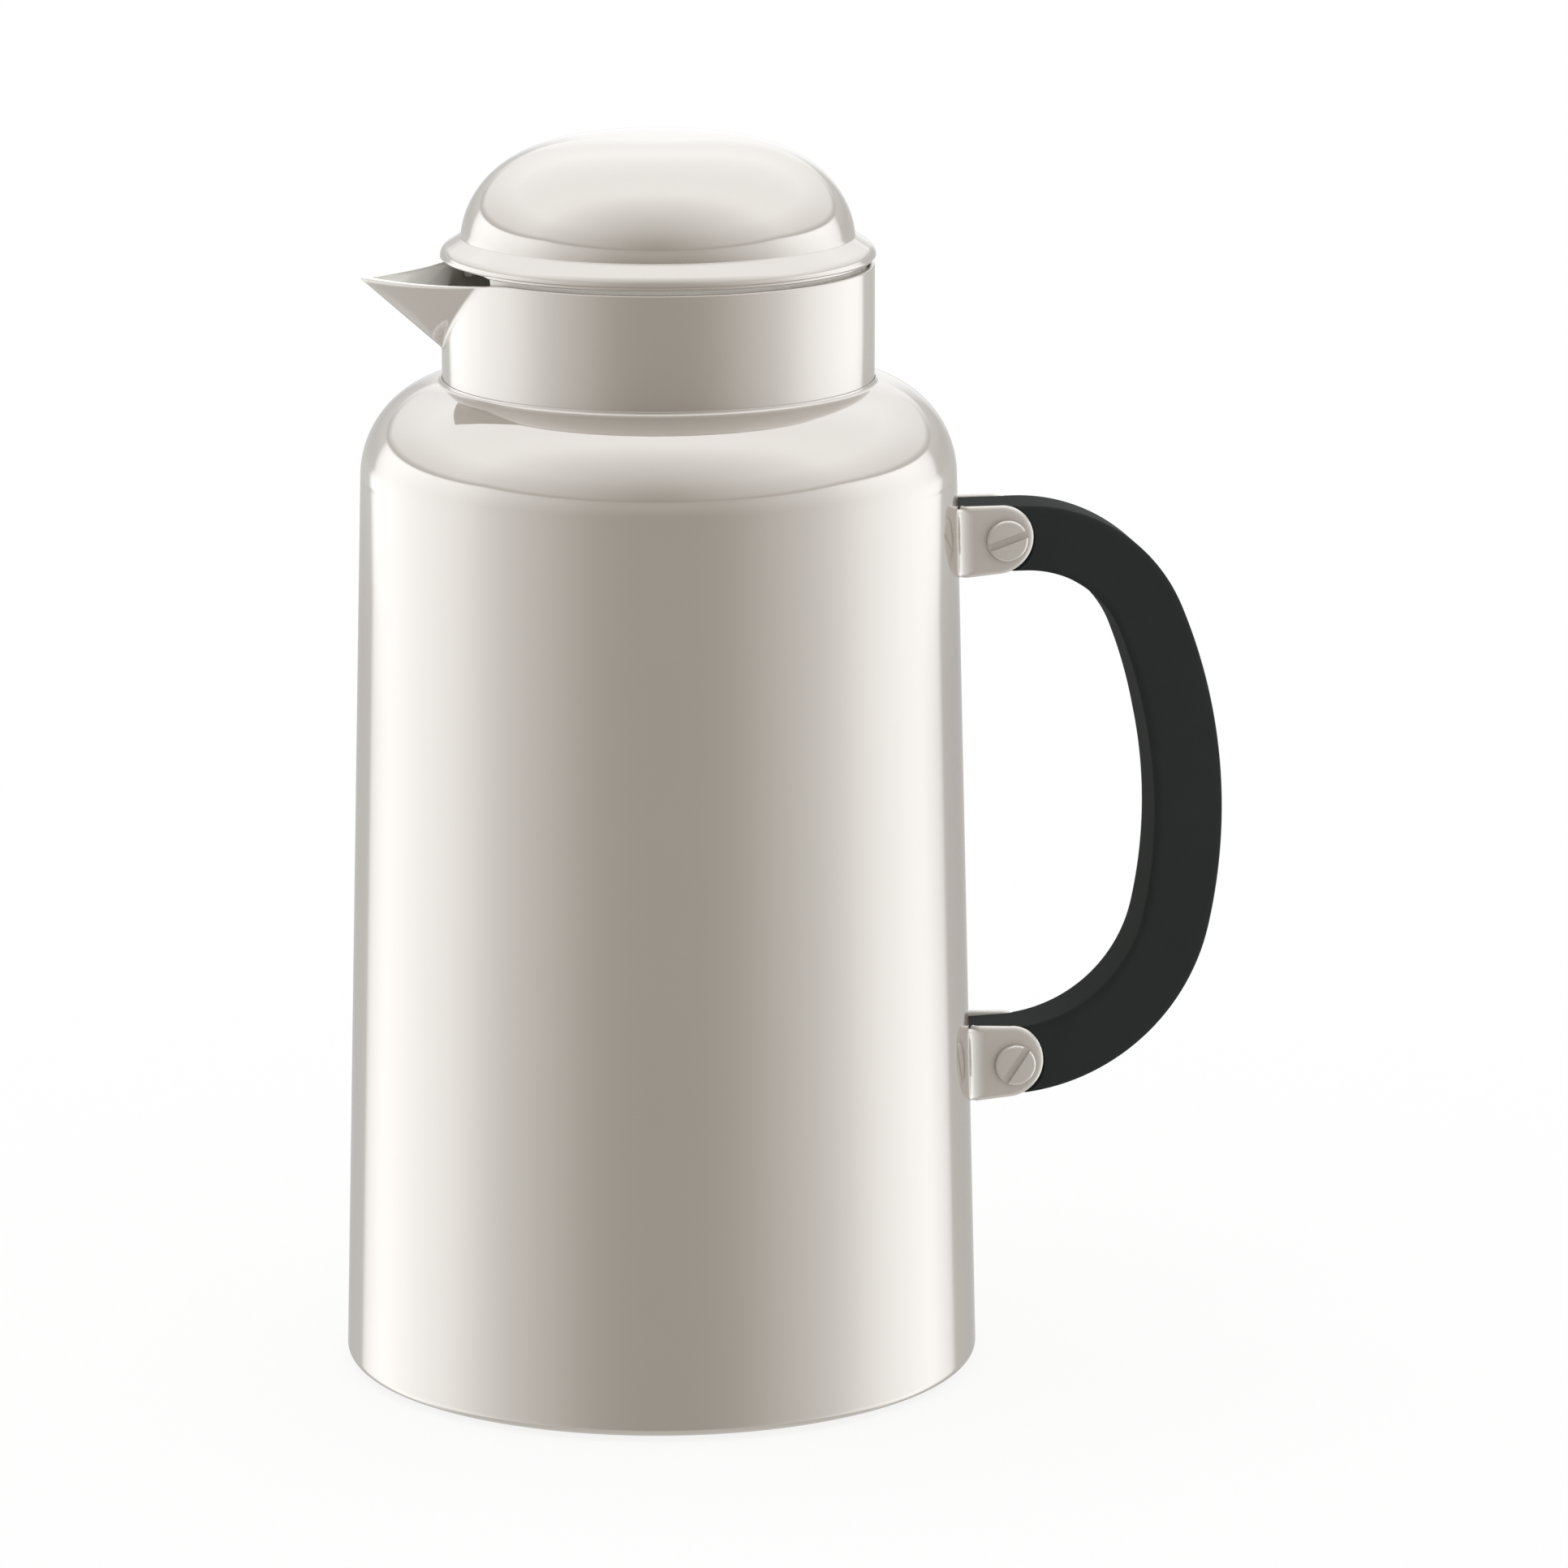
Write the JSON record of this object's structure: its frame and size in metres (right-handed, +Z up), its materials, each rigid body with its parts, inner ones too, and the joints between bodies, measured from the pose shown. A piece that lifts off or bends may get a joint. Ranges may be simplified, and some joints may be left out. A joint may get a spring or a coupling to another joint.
{
  "type": "insulated jug",
  "caption": "Insulated serving jug with a tapering glossy steel body, folded V spout, clamped D-shaped handle and a domed lid that turns on its stopper to open or close the pour window.",
  "frame": {"origin": "on the jug's axis, on the underside of the base pad", "axes": "+Z up along the jug's axis, +X towards the handle, -X towards the spout"},
  "size_m": [0.1868, 0.134, 0.2612],
  "materials": {
    "body_paint": "mirror-gloss pearl off-white enamel",
    "handle_plastic": "black moulded plastic with a satin skin",
    "neck_plastic": "off-white moulded plastic",
    "base_plastic": "black moulded plastic",
    "base_rubber": "matt black rubber",
    "seal_silicone": "translucent pale silicone",
    "flask_glass": "silvered blown glass",
    "rivet_steel": "plain steel",
    "lid_foam": "rigid insulating foam"
  },
  "bodies": {
    "jug_body": {"outer_shell": "body_paint", "base_ring": "base_plastic", "base_cap": "base_plastic", "base_pad": "base_rubber", "flask_outer_wall": "flask_glass", "flask_inner_wall": "flask_glass", "flask_spacer_1": "seal_silicone", "flask_spacer_2": "seal_silicone", "flask_spacer_3": "seal_silicone", "flask_cushion": "base_rubber", "mouth_gasket": "seal_silicone", "spout_collar": "body_paint", "collar_seal": "seal_silicone", "pour_ring": "neck_plastic", "handle": "handle_plastic", "upper_bracket": "body_paint", "upper_screw": "body_paint", "upper_nut": "body_paint", "upper_rivet_1": "rivet_steel", "upper_rivet_2": "rivet_steel", "lower_bracket": "body_paint", "lower_screw": "body_paint", "lower_nut": "body_paint", "lower_rivet_1": "rivet_steel", "lower_rivet_2": "rivet_steel"},
    "stopper_body": {"stopper": "neck_plastic", "stopper_seal": "seal_silicone", "stem_ring": "seal_silicone"},
    "lid_body": {"lid_shell": "body_paint", "lid_insulation": "lid_foam", "lid_insert": "neck_plastic", "valve_sleeve": "neck_plastic", "valve_screw": "rivet_steel"}
  },
  "joints": [
    {"name": "closure_lift", "type": "slide", "parent": "jug_body", "child": "stopper_body", "axis": [0, 0, 1], "range_m": [0, 0.06]},
    {"name": "lid_turn", "type": "hinge", "parent": "stopper_body", "child": "lid_body", "pos_m": [0, 0, 0.235], "axis": [0, 0, 1], "range_deg": [-90, 90]}
  ]
}
